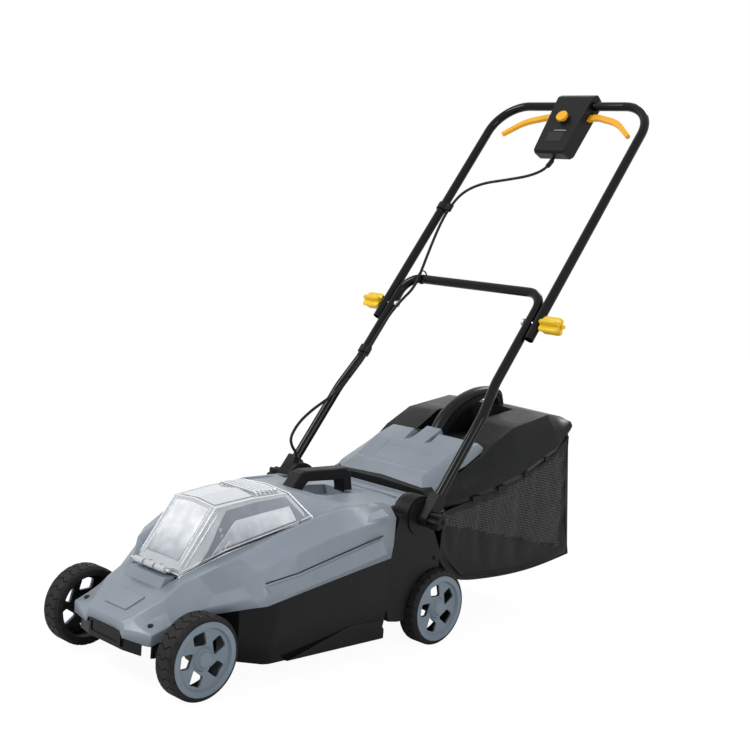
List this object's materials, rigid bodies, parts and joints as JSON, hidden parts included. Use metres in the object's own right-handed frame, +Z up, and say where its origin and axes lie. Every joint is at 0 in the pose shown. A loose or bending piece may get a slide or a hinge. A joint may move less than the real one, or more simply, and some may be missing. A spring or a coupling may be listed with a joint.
{
  "type": "cordless rotary lawn mower",
  "caption": "Walk-behind battery rotary mower with a clear-lidded battery bay, folding tube handle, switch box, rear flap and fabric-and-plastic grass box",
  "frame": {"origin": "on the ground under the middle of the mower's box", "axes": "+X to the right as seen from the front (the side that node names call right), -Y to the front, +Y towards the user, +Z up"},
  "size_m": [0.5114, 1.1732, 1.0766],
  "materials": {
    "body_grey": "moulded, satin",
    "rim_grey": "moulded",
    "deck_black": "moulded, glossy",
    "satin_black": "moulded, satin",
    "tyre_black": "moulded tread",
    "clear_cover": "clear moulded plastic, frosted by light scuffing",
    "signal_yellow": "moulded",
    "switch_orange": "moulded",
    "tube_black": "gloss powder coat",
    "zinc_steel": "zinc plated",
    "blade_steel": "ground steel",
    "motor_steel": "sheet steel",
    "lid_plastic": "moulded, satin",
    "bag_fabric": "mesh above, coated cloth below",
    "cable_black": "smooth sheath",
    "battery_grey": "moulded",
    "cell_sleeve": "shrink sleeve",
    "tray_grey": "moulded"
  },
  "bodies": {
    "chassis": {"deck_shell": "deck_black", "hood_cover": "body_grey", "name_plate": "body_grey", "body_screws": "zinc_steel", "battery_tray": "tray_grey", "battery_case": "battery_grey", "battery_cells": "cell_sleeve", "motor_controller": "satin_black", "carry_handle": "satin_black", "motor_housing": "motor_steel", "motor_stator": "motor_steel", "motor_bearings": "zinc_steel", "side_panels": "satin_black", "pivot_discs": "satin_black", "axles": "zinc_steel", "hinge_pins": "zinc_steel", "cable_gland": "satin_black", "cable_loop": "cable_black", "pivot_bolts": "zinc_steel"},
    "battery_latch": {"battery_latch": "satin_black"},
    "cover": {"battery_cover": "clear_cover"},
    "cutter": {"blade": "blade_steel", "blade_fan": "satin_black", "blade_bolt": "zinc_steel", "motor_rotor": "motor_steel"},
    "lower_handle": {"lower_handle_tube": "tube_black", "handle_collars": "satin_black", "joint_bolts": "zinc_steel", "lower_cable_clip": "satin_black", "cable_lower": "cable_black"},
    "upper_handle": {"upper_handle_tube": "tube_black", "switch_box_base": "satin_black", "switch_box_top": "satin_black", "upper_cable_clip": "satin_black", "cable_upper": "cable_black"},
    "safety_button": {"safety_button": "switch_orange"},
    "left_lever": {"left_switch_lever": "switch_orange"},
    "right_lever": {"right_switch_lever": "switch_orange"},
    "left_pivot_knob": {"left_pivot_knob": "satin_black"},
    "right_pivot_knob": {"right_pivot_knob": "satin_black"},
    "left_joint_knob": {"left_joint_knob": "signal_yellow"},
    "right_joint_knob": {"right_joint_knob": "signal_yellow"},
    "flap": {"rear_flap": "body_grey"},
    "grass_box": {"grass_box_lid": "lid_plastic", "grass_bag": "bag_fabric", "grass_box_mouth": "satin_black", "grass_box_frame": "motor_steel", "grass_box_clips": "satin_black"},
    "front_left_wheel": {"front_left_tyre": "tyre_black", "front_left_rim": "rim_grey", "front_left_hub_cap": "rim_grey"},
    "front_right_wheel": {"front_right_tyre": "tyre_black", "front_right_rim": "rim_grey", "front_right_hub_cap": "rim_grey"},
    "rear_left_wheel": {"rear_left_tyre": "tyre_black", "rear_left_rim": "rim_grey", "rear_left_hub_cap": "rim_grey"},
    "rear_right_wheel": {"rear_right_tyre": "tyre_black", "rear_right_rim": "rim_grey", "rear_right_hub_cap": "rim_grey"}
  },
  "joints": [
    {"name": "front_left_wheel_spin", "type": "hinge", "parent": "chassis", "child": "front_left_wheel", "pos_m": [-0.1588, -0.514, 0.07], "axis": [1, 0, 0], "continuous": true},
    {"name": "front_right_wheel_spin", "type": "hinge", "parent": "chassis", "child": "front_right_wheel", "pos_m": [0.1588, -0.514, 0.07], "axis": [1, 0, 0], "continuous": true},
    {"name": "rear_left_wheel_spin", "type": "hinge", "parent": "chassis", "child": "rear_left_wheel", "pos_m": [-0.1734, 0.0247, 0.07], "axis": [1, 0, 0], "continuous": true},
    {"name": "rear_right_wheel_spin", "type": "hinge", "parent": "chassis", "child": "rear_right_wheel", "pos_m": [0.1734, 0.0247, 0.07], "axis": [1, 0, 0], "continuous": true},
    {"name": "blade_spin", "type": "hinge", "parent": "chassis", "child": "cutter", "pos_m": [0, -0.252, 0.1], "axis": [0, 0, 1], "continuous": true},
    {"name": "cover_hinge", "type": "hinge", "parent": "chassis", "child": "cover", "pos_m": [0, -0.497, 0.178], "axis": [1, 0, 0], "range_deg": [0, 70]},
    {"name": "battery_latch_press", "type": "slide", "parent": "chassis", "child": "battery_latch", "axis": [0, 0, -1], "range_m": [0, 0.0025], "stiffness_N_per_m": 400},
    {"name": "lower_handle_fold", "type": "hinge", "parent": "chassis", "child": "lower_handle", "pos_m": [0, -0.032, 0.247], "axis": [1, 0, 0], "range_deg": [0, 36]},
    {"name": "upper_handle_fold", "type": "hinge", "parent": "lower_handle", "child": "upper_handle", "pos_m": [0, 0.23032, 0.6015], "axis": [1, 0, 0], "range_deg": [0, 105]},
    {"name": "safety_button_press", "type": "slide", "parent": "upper_handle", "child": "safety_button", "axis": [0, 0.8039, -0.5948], "range_m": [0, 0.004], "stiffness_N_per_m": 300},
    {"name": "right_lever_pull", "type": "hinge", "parent": "upper_handle", "child": "right_lever", "pos_m": [0.036, 0.55449, 1.0253], "axis": [0, -0.8039, 0.5948], "range_deg": [0, 12], "stiffness_Nm_per_rad": 0.6},
    {"name": "left_lever_pull", "type": "hinge", "parent": "upper_handle", "child": "left_lever", "pos_m": [-0.036, 0.55449, 1.0253], "axis": [0, 0.8039, -0.5948], "range_deg": [0, 12], "stiffness_Nm_per_rad": 0.6},
    {"name": "left_pivot_knob_turn", "type": "hinge", "parent": "chassis", "child": "left_pivot_knob", "pos_m": [-0.204, -0.032, 0.247], "axis": [1, 0, 0], "continuous": true},
    {"name": "left_joint_knob_turn", "type": "hinge", "parent": "lower_handle", "child": "left_joint_knob", "pos_m": [-0.2117, 0.23032, 0.6015], "axis": [1, 0, 0], "continuous": true},
    {"name": "right_pivot_knob_turn", "type": "hinge", "parent": "chassis", "child": "right_pivot_knob", "pos_m": [0.204, -0.032, 0.247], "axis": [1, 0, 0], "continuous": true},
    {"name": "right_joint_knob_turn", "type": "hinge", "parent": "lower_handle", "child": "right_joint_knob", "pos_m": [0.2117, 0.23032, 0.6015], "axis": [1, 0, 0], "continuous": true},
    {"name": "flap_hinge", "type": "hinge", "parent": "chassis", "child": "flap", "pos_m": [0, -0.002, 0.262], "axis": [1, 0, 0], "range_deg": [0, 60]},
    {"name": "grass_box_pull", "type": "slide", "parent": "chassis", "child": "grass_box", "axis": [0, 1, 0], "range_m": [0, 0.25]}
  ]
}
